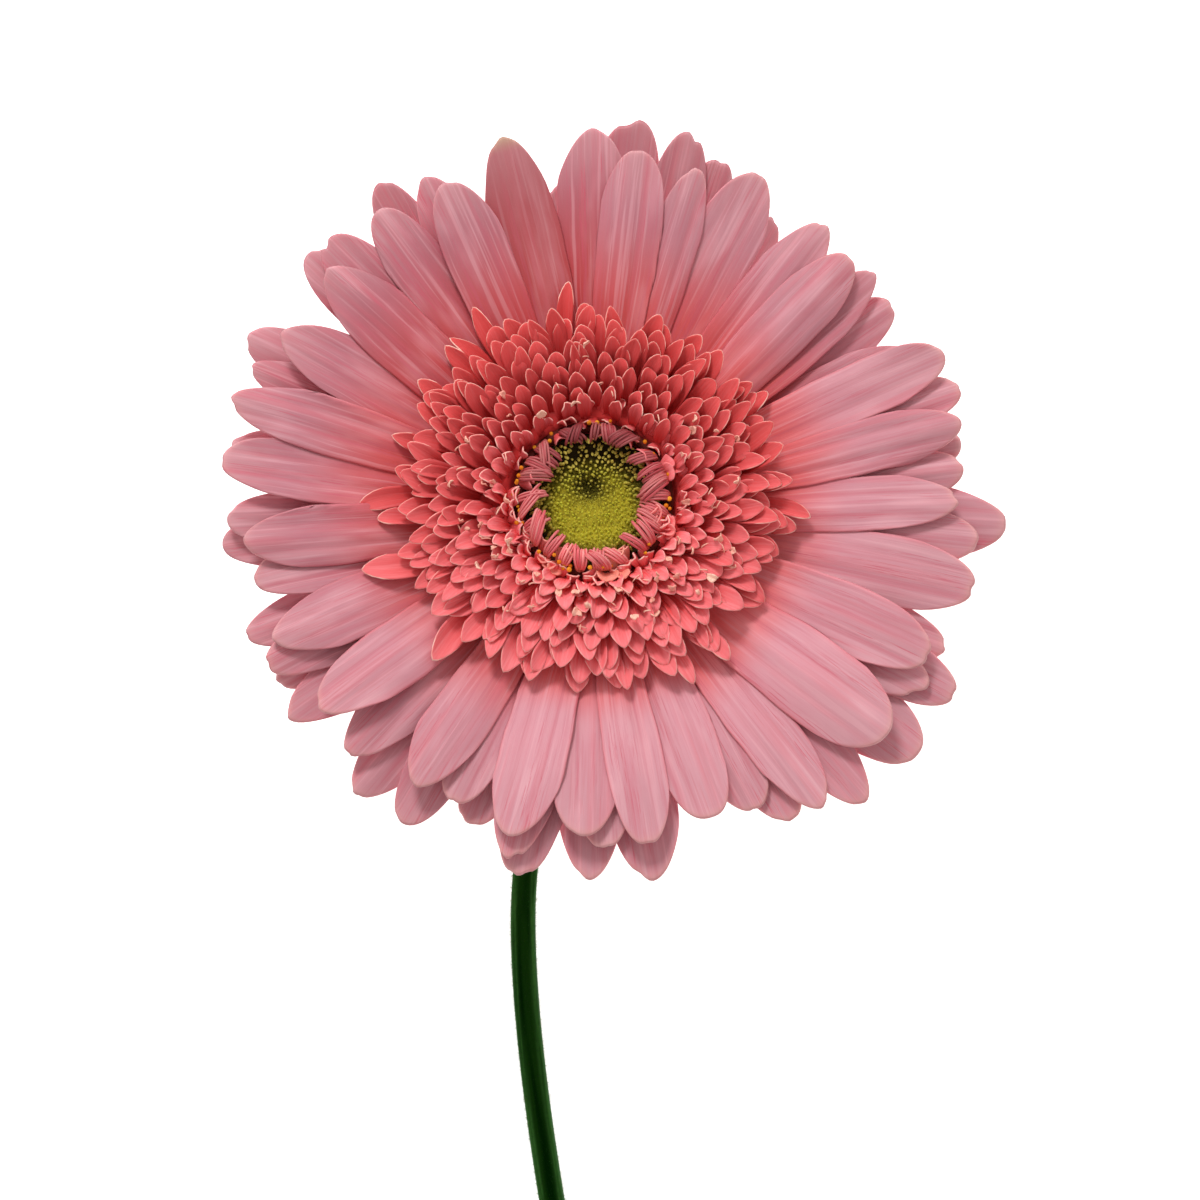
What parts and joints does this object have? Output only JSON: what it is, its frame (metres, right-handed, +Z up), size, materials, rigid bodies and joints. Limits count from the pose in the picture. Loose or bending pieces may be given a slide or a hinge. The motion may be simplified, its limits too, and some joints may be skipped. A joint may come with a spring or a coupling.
{
  "type": "cut gerbera",
  "caption": "Cut gerbera lying on a surface: a flat daisy-like head of pink ray petals in three layers round short coral florets and a green disc, on a long curved green stem.",
  "frame": {"origin": "the point of the surface that the flower lies on, under the middle of its whole box", "axes": "+Z up from the surface, -Y along the stem to its cut end, +X to the right as the face is seen with the stem below it"},
  "size_m": [0.1181, 0.3454, 0.0551],
  "materials": {
    "ray_petals": "silky matte petal, pink with fine lengthwise veins, coral red towards the base",
    "small_florets": "silky matte petal, coral red with pale cream rims at the tips",
    "curled_florets": "silky matte petal, pale striped mauve pink with salmon tips and orange pollen",
    "disc_florets": "fuzzy matte lime green, browner where it is shaded",
    "involucre": "matte green leaf with fine down",
    "stem": "satin dark green with fine whitish hairs"
  },
  "bodies": {
    "root": {"ray_petals": "ray_petals", "small_florets": "small_florets", "curled_florets": "curled_florets", "disc_florets": "disc_florets", "involucre": "involucre", "stem": "stem"}
  },
  "joints": []
}
